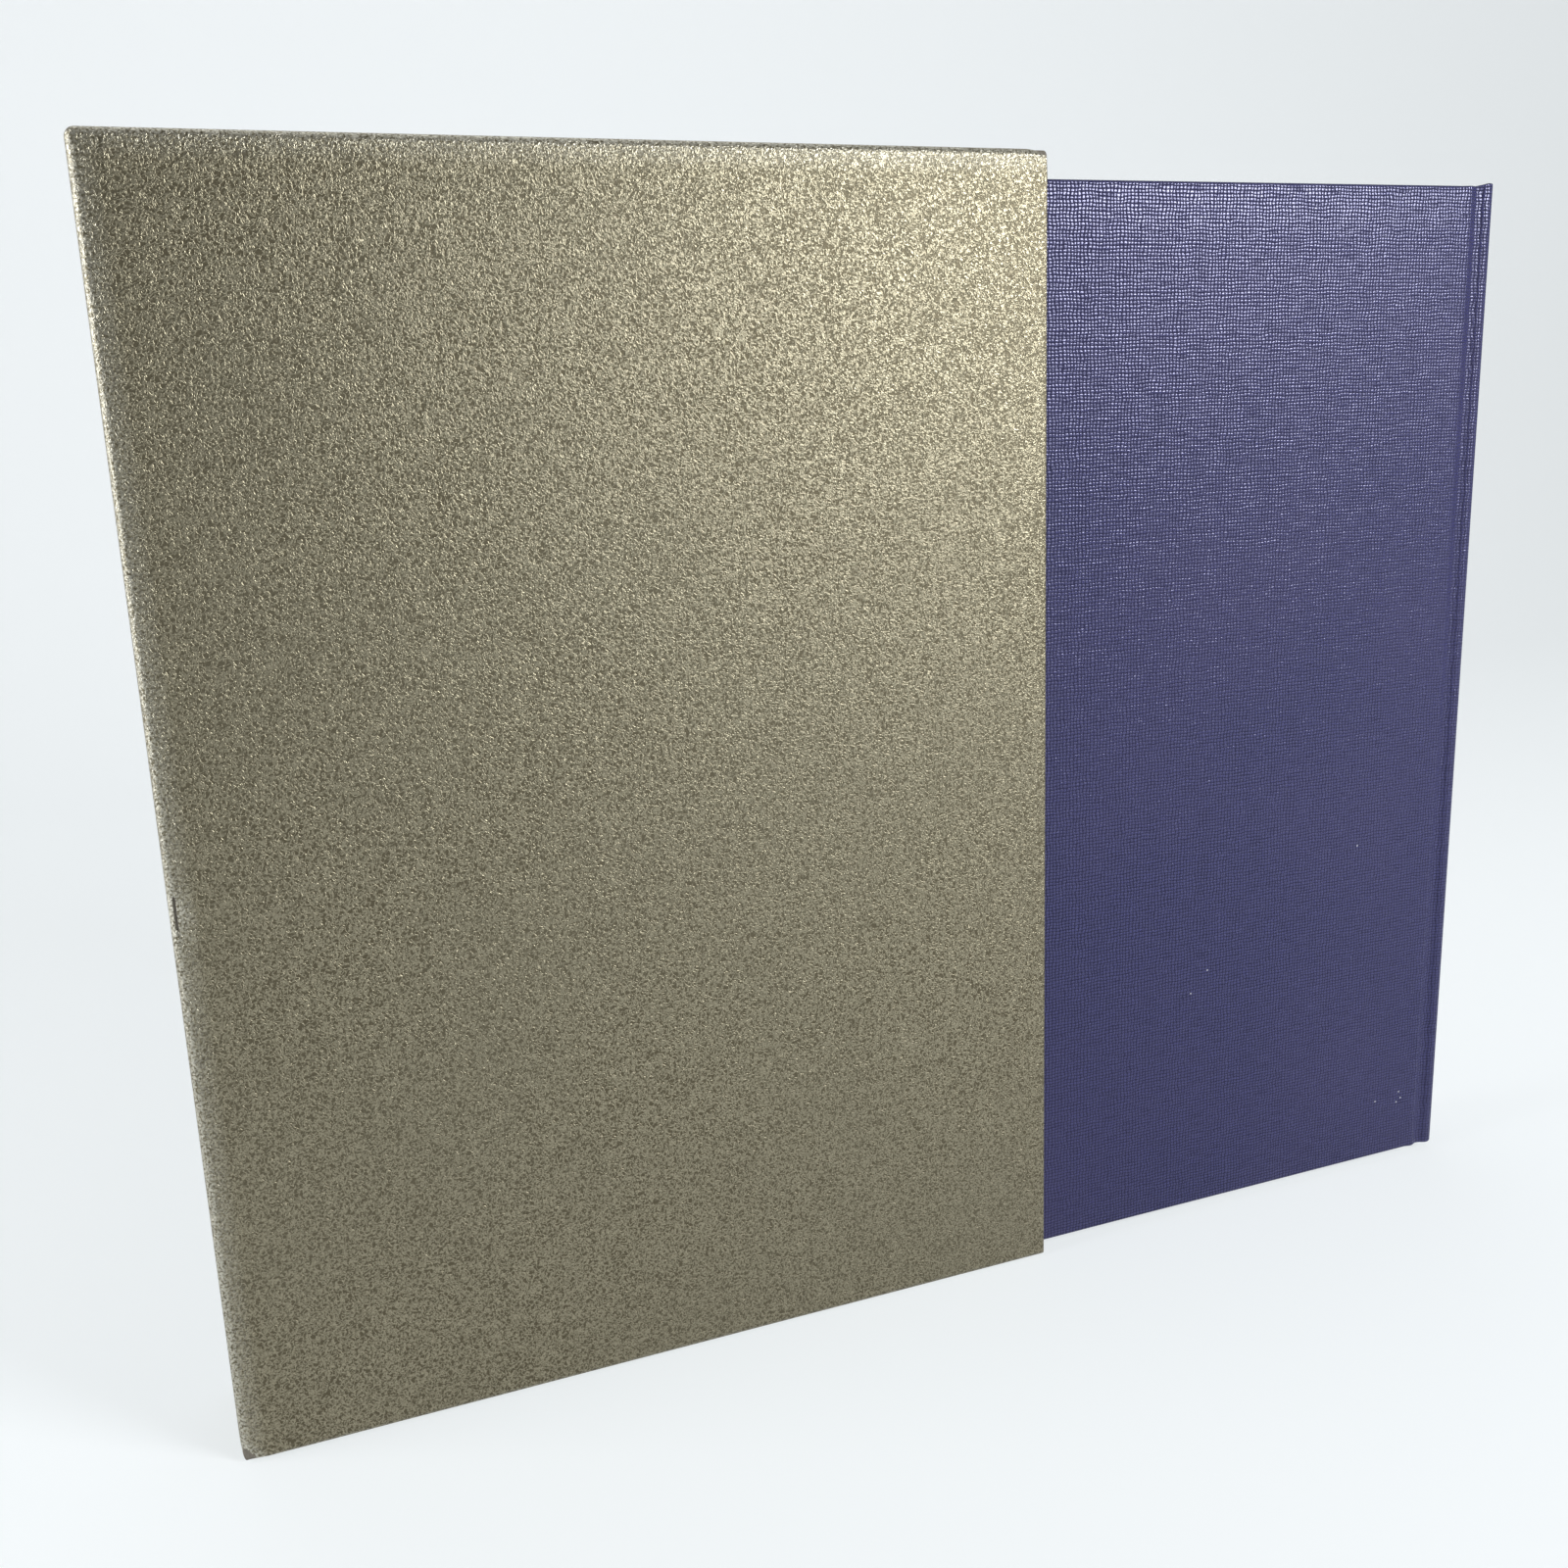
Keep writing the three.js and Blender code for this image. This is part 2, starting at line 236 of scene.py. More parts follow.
def extend_rim(mesh, x, inset):
    rim = [edge for edge in mesh.edges if edge.is_boundary]
    made = bmesh.ops.extrude_edge_only(mesh, edges=rim)["geom"]
    for vertex in (part for part in made if isinstance(part, bmesh.types.BMVert)):
        vertex.co = set_in(vertex.co, inset)
        vertex.co.x = x


def turn_in_at_mouth(mesh):
    for step in range(1, MOUTH_EDGE_STEPS + 1):
        angle = math.pi / 2 * step / MOUTH_EDGE_STEPS
        sink = MOUTH_EDGE_RADIUS * (1 - math.cos(angle))
        extend_rim(mesh, MOUTH_START + MOUTH_EDGE_RADIUS * math.sin(angle), sink)
    for step in range(MOUTH_EDGE_STEPS + 1):
        angle = math.pi / 2 * step / MOUTH_EDGE_STEPS
        sink = MOUTH_WALL - MOUTH_EDGE_RADIUS * (1 - math.sin(angle))
        extend_rim(mesh, MOUTH_START + MOUTH_EDGE_RADIUS * math.cos(angle), sink)
    extend_rim(mesh, CASE_HIGH.x - CASE_TURN_IN, MOUTH_WALL)
    bmesh.ops.remove_doubles(mesh, verts=mesh.verts, dist=SAME_PLACE)


def cut_the_slit(mesh):
    slit = []
    for face in mesh.faces:
        at = face.calc_center_median()
        across = at.x - CASE_LOW.x
        if SLIT_FROM < across < SLIT_TO and SLIT_LOW < at.z < SLIT_HIGH and at.y < CASE_MIDDLE.y:
            slit.append(face)
    bmesh.ops.delete(mesh, geom=slit, context="FACES")
    mesh.normal_update()


def wear_the_cloth(mesh):
    """Dents the corners, raises the crease and stores each place's wear plus a painted edge highlight."""
    wear_and_edge_highlight = mesh.verts.layers.float.new("wear_and_edge_highlight")
    knock = Vector((CASE_HIGH.x, CASE_LOW.y, CASE_HIGH.z))
    foot = Vector((CASE_LOW.x, CASE_LOW.y, CASE_LOW.z))
    slit_middle = Vector((CASE_LOW.x + (SLIT_FROM + SLIT_TO) / 2, CASE_LOW.y, (SLIT_LOW + SLIT_HIGH) / 2))
    for vertex in mesh.verts:
        at = vertex.co.copy()
        knocked = falloff((at - knock).length, KNOCK_SIZE)
        vertex.co.z -= KNOCK_DROP * knocked
        vertex.co.x -= KNOCK_PUSH * knocked
        crushed = falloff((at - foot).length, KNOCK_SIZE)
        vertex.co += CRUSH_PUSH * crushed
        if at.y < CASE_LOW.y + SAME_PLACE and abs(at.x - CREASE_X) < SAME_PLACE:
            vertex.co.y -= CREASE_HEIGHT * falloff(CASE_HIGH.z - at.z, CREASE_LENGTH)
        frayed = falloff((at - slit_middle).length, FRAYED_LENGTH)
        rim_distance = Vector((at.x - CASE_LOW.x, at.y - CASE_LOW.y)).length
        top_distance = Vector((CASE_HIGH.z - at.z, at.y - CASE_LOW.y)).length
        # Painted highlight along the closed end's front edge and the top's front edge, stored with the wear
        end_edge_highlight = END_EDGE_HIGHLIGHT * falloff(rim_distance, EDGE_HIGHLIGHT_WIDTH)
        top_edge_highlight = TOP_EDGE_HIGHLIGHT * falloff(top_distance, EDGE_HIGHLIGHT_WIDTH)
        frayed *= falloff(rim_distance, FRAYED_WIDTH)
        vertex[wear_and_edge_highlight] = min(1.0, crushed + max(end_edge_highlight, top_edge_highlight) + frayed)


def case_covering():
    mesh = rounded_sleeve()
    turn_in_at_mouth(mesh)
    cut_the_slit(mesh)
    wear_the_cloth(mesh)
    smooth_faces(mesh)
    return mesh


covering = finished_piece(
    "case_covering_cloth", case_covering(), "slipcase", bronze_cloth_paper()
)
covering_wall = covering.modifiers.new("cloth_thickness", "SOLIDIFY")
covering_wall.thickness = COVERING
covering_wall.offset = -1
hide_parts("case_covering")


# Boards of the case
# Five pieces of grey millboard glued edge to edge, with their outer edges sanded round.
# They are closed in by the covering and the lining, and show only through the slit in the covering.
def plain_board(name, dark, light):
    material, tree, shader = new_material(name, Roughness=0.95)
    place = object_coordinates(tree)
    fibres = noise_value(tree, object_coordinates(tree, (1, 1, 0.3)), 1400.0, 3.0)
    clouds = noise_value(tree, place, 45.0, 3.0)
    speckle = noise_value(tree, place, 2600.0, 0.0)
    clouds = calculate(tree, "MULTIPLY", clouds, 0.4)
    tone = calculate(tree, "ADD", calculate(tree, "MULTIPLY", fibres, 0.6), clouds)
    colour = blended(tree, ranged(tree, tone, 0.35, 0.65), dark, light)
    colour = blended(tree, ranged(tree, speckle, 0.68, 0.78, 0.0, 0.5), colour, (0.10, 0.085, 0.065, 1))
    tree.links.new(colour, shader.inputs["Base Color"])
    set_bump(tree, shader, fibres, 0.3, 0.06 * MM)
    return material


def dress_node(name, material):
    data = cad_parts[name].data
    data.materials.clear()
    data.materials.append(material)


millboard = plain_board("millboard", (0.115, 0.10, 0.08, 1), (0.22, 0.20, 0.165, 1))
for board in ("front", "back", "top", "bottom", "end"):
    dress_node(f"case_{board}_board", millboard)


# Lining of the case
# One folded sheet of plain off-white paper pasted inside, up to the covering's turned-in edge.
def plain_paper(name, colour_low, colour_high):
    material, tree, shader = new_material(name, Roughness=0.9)
    place = object_coordinates(tree)
    fibres = noise_value(tree, place, 1800.0, 4.0)
    clouds = noise_value(tree, place, 30.0, 4.0)
    clouds = calculate(tree, "MULTIPLY", clouds, 0.55)
    tone = calculate(tree, "ADD", calculate(tree, "MULTIPLY", fibres, 0.45), clouds)
    colour = blended(tree, ranged(tree, tone, 0.38, 0.62), colour_low, colour_high)
    tree.links.new(colour, shader.inputs["Base Color"])
    set_bump(tree, shader, fibres, 0.15, 0.03 * MM)
    return material


dress_node("case_lining", plain_paper("lining_paper", (0.60, 0.57, 0.49, 1), (0.70, 0.67, 0.59, 1)))


# Cloth of the book
# One sheet of purple-blue book cloth in a plain weave, glued over both boards and the spine strip.
# It is pressed into a joint beside the spine, and turned in all round under the endpapers.
BOOK_LOW, BOOK_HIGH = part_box("book_cloth")
BOARD_LOW, BOARD_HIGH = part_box("book_front_board")
FORE_EDGE = BOOK_LOW.x
CLOTH = BOARD_LOW.y - BOOK_LOW.y
BOARD_END = BOARD_HIGH.x
UNDER_TURN_IN = 2 * CLOTH + BOARD_HIGH.y - BOARD_LOW.y
COVER_BOTTOM = BOARD_LOW.z - CLOTH
COVER_TOP = BOARD_HIGH.z + CLOTH
SPINE_STRIP = 0.8 * MM
CLOTH_TURN_IN = 15 * MM
JOINT_WIDTH = 7.2 * MM
JOINT_DEPTH = 0.9 * MM
SHOULDER_CREST = BOARD_END + JOINT_WIDTH
SHOULDER_WIDTH = 3.2 * MM
SHOULDER_DROP = 0.15 * MM
SHOULDER_HEIGHT = 2.8 * MM
SHOULDER_END = SHOULDER_CREST + SHOULDER_WIDTH
BACK_RISE = BOOK_HIGH.x - SHOULDER_END
BOOK_MIDDLE = (COVER_BOTTOM + COVER_TOP) / 2
HEAD_RISE = BOOK_HIGH.z - COVER_TOP
TAIL_DROP = COVER_BOTTOM - BOOK_LOW.z
BOARD_EDGE_RADIUS = 0.95 * MM
JOINT_EDGE_RADIUS = 0.36 * MM
SOFT_EDGE_END = 2 * MM
BOOK_CELL = 6 * MM
JOINT_STEPS = 10
BACK_STEPS = 24
WEFT_PITCH = 0.95 * MM
WARP_PITCH = 1.1 * MM


def joint_curve(*corners):
    """A bend of the book's outline from above. Each corner is x and the depth below the front side."""
    points = [Vector((x, BOOK_LOW.y + depth, 0)) for x, depth in corners]
    return interpolate_bezier(*points, JOINT_STEPS + 1)


def back_arc(edge, rise, half, steps):
    """An arc from the front side to the back side, standing out from its edge by the rise."""
    radius = (half ** 2 + rise ** 2) / (2 * rise)
    reach = math.asin(half / radius)
    angles = [reach * (2 * step / steps - 1) for step in range(steps + 1)]
    centre = edge + rise - radius
    return [Vector((centre + radius * math.cos(angle), radius * math.sin(angle), 0)) for angle in angles]


def cover_line():
    """The outside of the cloth from above, from the front board's end round the spine to the back's."""
    bottom = BOARD_END + JOINT_WIDTH / 2
    quarter = JOINT_WIDTH / 4
    half = BOOK_HIGH.y - SHOULDER_HEIGHT
    lean = 2 * math.atan(BACK_RISE / half)
    fall = joint_curve(
        (BOARD_END, 0), (BOARD_END + quarter, 0), (BOARD_END + quarter, JOINT_DEPTH), (bottom, JOINT_DEPTH)
    )
    climb = joint_curve(
        (bottom, JOINT_DEPTH), (SHOULDER_CREST - quarter, JOINT_DEPTH),
        (SHOULDER_CREST - quarter, SHOULDER_DROP), (SHOULDER_CREST, SHOULDER_DROP),
    )
    turn = joint_curve(
        (SHOULDER_CREST, SHOULDER_DROP), (SHOULDER_CREST + SHOULDER_WIDTH / 2, SHOULDER_DROP),
        (SHOULDER_END - SHOULDER_HEIGHT / 2 * math.tan(lean), SHOULDER_HEIGHT / 2),
        (SHOULDER_END, SHOULDER_HEIGHT),
    )
    front = fall + climb[1:] + turn[1:]
    back = [Vector((at.x, -at.y, 0)) for at in reversed(front)]
    return front + back_arc(SHOULDER_END, BACK_RISE, half, BACK_STEPS)[1:-1] + back


def moved_in(line, distance):
    moved = []
    for index, at in enumerate(line):
        along = (line[min(index + 1, len(line) - 1)] - line[max(index - 1, 0)]).normalized()
        moved.append(at + distance * Vector((-along.y, along.x, 0)))
    return moved


def nearest_on(line):
    """Tells how far a place lies from a line seen from above, and how far along the line that is."""
    lengths = [0.0]
    for before, after in zip(line, line[1:]):
        lengths.append(lengths[-1] + (after - before).length)

    @cache
    def measured(x, y):
        at = Vector((x, y, 0))
        best = (1.0, 0.0)
        for before, after, length in zip(line, line[1:], lengths):
            share = min(max(intersect_point_line(at, before, after)[1], 0.0), 1.0)
            distance = (at - before.lerp(after, share)).length
            best = min(best, (distance, length + share * (after - before).length))
        return best

    return lambda at: measured(round(at.x, 6), round(at.y, 6))


def soften_board_edges(mesh):
    """The boards' edges are rounder than the doubled cloth beside them, so their rounding is spread out."""
    for vertex in mesh.verts:
        at = vertex.co
        towards_joint = min(max((at.x - BOARD_END) / SOFT_EDGE_END + 1, 0.0), 1.0)
        growth = (BOARD_EDGE_RADIUS / JOINT_EDGE_RADIUS - 1) * (1 - towards_joint)
        sides = ((0, FORE_EDGE), (1, BOOK_LOW.y), (1, BOOK_HIGH.y), (2, COVER_BOTTOM), (2, COVER_TOP))
        for axis, side in sides:
            if abs(at[axis] - side) < 1.01 * JOINT_EDGE_RADIUS:
                at[axis] += (at[axis] - side) * growth


def map_the_cloth(mesh, nearest):
    """The cloth's own map, in metres: along the cover's outline, and up."""
    cloth = mesh.loops.layers.uv.new("cloth")
    for face in mesh.faces:
        folded_over = round(face.normal.z)
        for loop in face.loops:
            depth, along = nearest(loop.vert.co)
            loop[cloth].uv = (along, loop.vert.co.z + folded_over * depth)


def book_cloth():
    line = cover_line()
    joint_points = 2 * JOINT_STEPS + 1
    spine_points = slice(joint_points - 1, len(line) - joint_points + 1)
    joint_inside = moved_in(line, 2 * CLOTH)
    front_inside = BOOK_LOW.y + UNDER_TURN_IN
    inside = [Vector((FORE_EDGE, front_inside, 0)), Vector((BOARD_END, front_inside, 0))]
    inside += joint_inside[:joint_points] + moved_in(line, 2 * CLOTH + SPINE_STRIP)[spine_points]
    inside += joint_inside[-joint_points:]
    inside += [Vector((BOARD_END, -front_inside, 0)), Vector((FORE_EDGE, -front_inside, 0))]
    outside = [Vector((FORE_EDGE, BOOK_LOW.y, 0)), *line, Vector((FORE_EDGE, BOOK_HIGH.y, 0))]

    mesh = bmesh.new()
    corners = [mesh.verts.new((at.x, at.y, COVER_BOTTOM)) for at in outside + inside[::-1]]
    lifted = bmesh.ops.extrude_face_region(mesh, geom=[mesh.faces.new(corners)])["geom"]
    top = [part for part in lifted if isinstance(part, bmesh.types.BMVert)]
    bmesh.ops.translate(mesh, vec=(0, 0, COVER_TOP - COVER_BOTTOM), verts=top)
    bmesh.ops.recalc_face_normals(mesh, faces=mesh.faces)

    nearest = nearest_on(outside)
    rim = []
    for edge in mesh.edges:
        ends = [vertex.co for vertex in edge.verts]
        on_outside = all(nearest(end)[0] < 2e-6 for end in ends)
        at_fore_edge = all(abs(end.x - FORE_EDGE) < 1e-6 for end in ends)
        level = abs(ends[0].z - ends[1].z) < 1e-6
        if at_fore_edge or (on_outside and level):
            rim.append(edge)
    bmesh.ops.bevel(
        mesh, geom=rim, offset=JOINT_EDGE_RADIUS, offset_type="OFFSET", segments=4,
        profile=0.5, affect="EDGES", material=-1,
    )
    slice_along(mesh, 0, [BOARD_END - SOFT_EDGE_END])
    soften_board_edges(mesh)
    for vertex in mesh.verts:
        rise = min(max((vertex.co.x - BOARD_END) / (JOINT_WIDTH / 2) - 1, 0.0), 1.0)
        vertex.co.z += rise * (HEAD_RISE if vertex.co.z > BOOK_MIDDLE else -TAIL_DROP)

    window_x = FORE_EDGE + CLOTH_TURN_IN
    window_low, window_high = COVER_BOTTOM + CLOTH_TURN_IN, COVER_TOP - CLOTH_TURN_IN
    slice_along(mesh, 0, [window_x] + even_places(window_x, BOARD_END - SOFT_EDGE_END, BOOK_CELL))
    slice_along(mesh, 2, [window_low, window_high] + even_places(window_low, window_high, BOOK_CELL))
    window = []
    for face in mesh.faces:
        at = face.calc_center_median()
        if at.x > window_x and window_low < at.z < window_high and nearest(at)[0] > CLOTH:
            window.append(face)
    bmesh.ops.delete(mesh, geom=window, context="FACES")
    map_the_cloth(mesh, nearest)
    smooth_faces(mesh)
    return mesh


def plain_weave(tree, across, up, warp_pitch, weft_pitch):
    """How high the surface of a plain weave stands, 0 to 1, from the places across and up the cloth."""
    warp_wave = calculate(tree, "SINE", calculate(tree, "MULTIPLY", across, math.pi / warp_pitch))
    weft_wave = calculate(tree, "SINE", calculate(tree, "MULTIPLY", up, math.pi / weft_pitch))
    weft_over = calculate(tree, "GREATER_THAN", calculate(tree, "MULTIPLY", warp_wave, weft_wave), 0.0)
    warp_wave = calculate(tree, "ABSOLUTE", warp_wave)
    weft_wave = calculate(tree, "ABSOLUTE", weft_wave)
    weft = calculate(tree, "MULTIPLY", weft_wave, calculate(tree, "POWER", warp_wave, 0.5))
    warp = calculate(tree, "MULTIPLY", warp_wave, calculate(tree, "POWER", weft_wave, 0.5))
    weft = calculate(tree, "MULTIPLY", weft, weft_over)
    warp = calculate(tree, "MULTIPLY", warp, calculate(tree, "SUBTRACT", 1.0, weft_over))
    return calculate(tree, "MAXIMUM", weft, warp)


# Specks of dust and rubbed threads on the front cover, as x and z in millimetres, most of them near the tail
DUST_SIZE = 0.35 * MM
DUST = (
    (175.0, 80.5), (169.1, 73.9), (230.6, 112.3), (243.6, 22.5), (253.4, 24.0), (254.3, 21.7), (252.6, 20.5),
)


def dusted(tree, colour):
    place = object_coordinates(tree)
    for x, z in DUST:
        ends = {0: place, 1: Vector((x * MM, BOOK_LOW.y, z * MM))}
        away = add_node(tree, "ShaderNodeVectorMath", ends, operation="DISTANCE").outputs["Value"]
        share = ranged(tree, away, DUST_SIZE, 0.4 * DUST_SIZE)
        colour = blended(tree, share, colour, (0.42, 0.42, 0.46, 1))
    return colour


def purple_book_cloth():
    material, tree, shader = new_material(
        "purple_book_cloth", IOR=1.5, Specular_IOR_Level=0.85, Specular_Tint=(0.76, 0.76, 1.0, 1)
    )
    cloth = add_node(tree, "ShaderNodeUVMap", uv_map="cloth").outputs[0]
    wander = noise_value(tree, cloth, 220.0, 2.0)
    wander = ranged(tree, wander, 0.0, 1.0, -0.8 * WARP_PITCH, 0.8 * WARP_PITCH)
    sway = noise_value(tree, cloth, 170.0, 2.0)
    sway = ranged(tree, sway, 0.0, 1.0, -0.6 * WEFT_PITCH, 0.6 * WEFT_PITCH)
    apart = add_node(tree, "ShaderNodeSeparateXYZ", {"Vector": cloth})
    across = calculate(tree, "ADD", apart.outputs[0], wander)
    up = calculate(tree, "ADD", apart.outputs[1], sway)
    weave = plain_weave(tree, across, up, WARP_PITCH, WEFT_PITCH)
    long_threads = {"Vector": cloth, "Scale": (160.0, 1500.0, 1.0)}
    slubs = noise_value(tree, add_node(tree, "ShaderNodeMapping", long_threads).outputs[0], 1.0, 2.0)
    height = calculate(tree, "MULTIPLY", weave, ranged(tree, slubs, 0.3, 0.7, 0.65, 1.25))
    crests = ranged(tree, height, 0.1, 0.9)
    colour = blended(tree, crests, (0.003, 0.003, 0.024, 1), (0.015, 0.015, 0.090, 1))
    clouds = noise_value(tree, object_coordinates(tree), 14.0, 3.0)
    colour = blended(tree, ranged(tree, clouds, 0.4, 0.7, 0.0, 0.25), colour, (0.026, 0.020, 0.070, 1))
    tree.links.new(dusted(tree, colour), shader.inputs["Base Color"])
    tree.links.new(ranged(tree, height, 0.28, 0.78, 0.95, 0.25), shader.inputs["Roughness"])
    set_bump(tree, shader, height, 1.0, 0.07 * MM)
    return material


book_cover = finished_piece("book_cloth_cover", book_cloth(), "book", purple_book_cloth())
book_cover_wall = book_cover.modifiers.new("cloth_thickness", "SOLIDIFY")
book_cover_wall.thickness = CLOTH
book_cover_wall.offset = -1
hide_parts("book_cloth")


# Boards of the book
# Two pieces of thick grey millboard, and a thin strip of card that gives the spine its round.
# All three are wrapped in the cloth, and their inner sides are pasted over.
for board in ("front_board", "back_board", "spine_strip"):
    dress_node(f"book_{board}", millboard)


# Pages of the book
# A block of sewn sections of smooth cream paper, trimmed on three sides.
# It is rounded at the back, which makes the fore-edge hollow, and each leaf's edge can be seen.
PAGES_LOW, PAGES_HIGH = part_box("book_pages")
PAGE_HALF = PAGES_HIGH.y
PAGE_RISE = BACK_RISE
PAGE_BACK = PAGES_HIGH.x - PAGE_RISE
LEAF = 0.2 * MM
LEAVES_IN_SECTION = 8
LEAF_SHIFT = 0.07 * MM
SECTION_GAP = 0.14 * MM


def page_block():
    mesh = bmesh.new()
    bmesh.ops.create_cube(mesh, size=1)
    block = (PAGE_BACK - PAGES_LOW.x, 2 * PAGE_HALF, PAGES_HIGH.z - PAGES_LOW.z)
    bmesh.ops.scale(mesh, vec=block, verts=mesh.verts)
    middle = Vector(((PAGE_BACK + PAGES_LOW.x) / 2, 0, (PAGES_LOW.z + PAGES_HIGH.z) / 2))
    bmesh.ops.translate(mesh, vec=middle, verts=mesh.verts)
    slice_along(mesh, 0, [PAGE_BACK - 6 * MM])
    slice_along(mesh, 1, even_places(-PAGE_HALF, PAGE_HALF, LEAF / 2))
    radius = (PAGE_HALF ** 2 + PAGE_RISE ** 2) / (2 * PAGE_RISE)
    for vertex in mesh.verts:
        at = vertex.co
        step = round((at.y + PAGE_HALF) / (LEAF / 2))
        leaf = step // 2
        between = step % 2 == 0
        round_out = math.sqrt(radius ** 2 - at.y ** 2) - radius + PAGE_RISE
        uneven = LEAF_SHIFT * noise.noise(Vector((leaf * 0.83, 0.5, 0.5)))
        at.x += round_out
        if at.x < middle.x:
            at.x += LEAF_SHIFT / 2 + uneven + (LEAF_SHIFT / 2 if between else 0)
        section_gap = SECTION_GAP if between and leaf % LEAVES_IN_SECTION == 0 and at.x > middle.x else 0
        inwards = (LEAF_SHIFT / 2 if between else 0) + section_gap
        at.z += inwards if at.z < middle.z else -inwards
    return mesh


def page_paper():
    material, tree, shader = new_material("page_paper", Roughness=0.85)
    place = object_coordinates(tree)
    leaves = noise_value(tree, object_coordinates(tree, (20.0, 5200.0, 20.0)), 1.0, 1.0)
    age = noise_value(tree, place, 22.0, 3.0)
    colour = blended(tree, ranged(tree, leaves, 0.35, 0.65), (0.70, 0.66, 0.56, 1), (0.84, 0.81, 0.72, 1))
    colour = blended(tree, ranged(tree, age, 0.4, 0.75, 0.0, 0.4), colour, (0.74, 0.68, 0.54, 1))
    tree.links.new(colour, shader.inputs["Base Color"])
    set_bump(tree, shader, leaves, 0.3, 0.04 * MM)
    return material


pages = finished_piece("book_page_block", page_block(), "book", page_paper())
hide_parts("book_pages")


# Lining of the book's spine
# A strip of starched cotton gauze glued over the back of the sections, with a flange on each board.
def gauze_cloth():
    material, tree, shader = new_material("gauze", Roughness=0.95)
    apart = add_node(tree, "ShaderNodeSeparateXYZ", {"Vector": object_coordinates(tree)})
    across = calculate(tree, "ADD", apart.outputs[0], apart.outputs[1])
    weave = plain_weave(tree, across, apart.outputs[2], 1.4 * MM, 1.1 * MM)
    colour = blended(tree, ranged(tree, weave, 0.1, 0.8), (0.42, 0.38, 0.28, 1), (0.76, 0.73, 0.64, 1))
    tree.links.new(colour, shader.inputs["Base Color"])
    set_bump(tree, shader, weave, 0.7, 0.12 * MM)
    return material


dress_node("book_spine_lining", gauze_cloth())


# Endpapers of the book
# A pasted leaf inside each board, over the edges of the turned-in cloth, and a free leaf on the pages.
# Both are of plain laid paper, a little warmer than the pages.
endpaper = plain_paper("endpaper", (0.66, 0.62, 0.53, 1), (0.78, 0.75, 0.66, 1))
dress_node("book_front_endpaper", endpaper)
dress_node("book_back_endpaper", endpaper)


# Head and tail bands
# Cotton cord wound with lilac silk, glued on the ends of the pages along their back.
BAND_LOW, BAND_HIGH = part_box("book_head_band")
BAND_WIDTH = 2.2 * MM
BAND_HEIGHT = BAND_HIGH.z - BAND_LOW.z
BAND_TURNS = 46


def silk_band(low):
    mesh = bmesh.new()
    radius = (PAGE_HALF ** 2 + PAGE_RISE ** 2) / (2 * PAGE_RISE)
    reach = math.asin(PAGE_HALF / radius)
    centre = Vector((PAGES_HIGH.x - radius, 0, low + BAND_HEIGHT / 2))
    ring = bmesh.ops.create_circle(mesh, segments=12, radius=0.5)["verts"]
    bmesh.ops.rotate(mesh, verts=ring, cent=(0, 0, 0), matrix=Matrix.Rotation(math.pi / 2, 3, "X"))
    bmesh.ops.scale(mesh, vec=(BAND_WIDTH, 1, BAND_HEIGHT), verts=ring)
    bmesh.ops.translate(mesh, vec=centre + Vector((radius - BAND_WIDTH / 2, 0, 0)), verts=ring)
    bmesh.ops.rotate(mesh, verts=ring, cent=centre, matrix=Matrix.Rotation(-reach, 3, "Z"))
    bmesh.ops.spin(
        mesh, geom=mesh.edges[:], cent=centre, axis=(0, 0, 1), angle=2 * reach, steps=2 * BAND_TURNS
    )
    bmesh.ops.holes_fill(mesh, edges=[edge for edge in mesh.edges if edge.is_boundary], sides=0)
    for vertex in mesh.verts:
        from_centre = Vector((vertex.co.x - centre.x, vertex.co.y, 0))
        turn = round((from_centre.angle(Vector((1, 0, 0))) / reach) * BAND_TURNS)
        if turn % 2:
            core = centre + from_centre.normalized() * (radius - BAND_WIDTH / 2)
            vertex.co = core + (vertex.co - core) * 0.86
    bmesh.ops.recalc_face_normals(mesh, faces=mesh.faces)
    smooth_faces(mesh)
    return mesh


def band_silk():
    material, tree, shader = new_material("band_silk", Roughness=0.4)
    shader.inputs["Sheen Weight"].default_value = 0.4
    strands = noise_value(tree, object_coordinates(tree, (900.0, 2600.0, 900.0)), 1.0, 2.0)
    colour = blended(tree, ranged(tree, strands, 0.35, 0.65), (0.10, 0.095, 0.20, 1), (0.22, 0.21, 0.36, 1))
    tree.links.new(colour, shader.inputs["Base Color"])
    set_bump(tree, shader, strands, 0.3, 0.04 * MM)
    return material


silk = band_silk()
head_band = finished_piece("head_band_silk", silk_band(BAND_LOW.z), "book", silk)
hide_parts("book_head_band")
TAIL_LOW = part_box("book_tail_band")[0]
tail_band = finished_piece("tail_band_silk", silk_band(TAIL_LOW.z), "book", silk)
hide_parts("book_tail_band")


# Floor and backdrop
# One seamless sheet of white card that lies flat under the case and curves up well behind it.
BACKDROP_BEHIND = 0.75
BACKDROP_BEND = 0.5
FLOOR_REACH = 5.0
WHITE_SHARE = 0.66


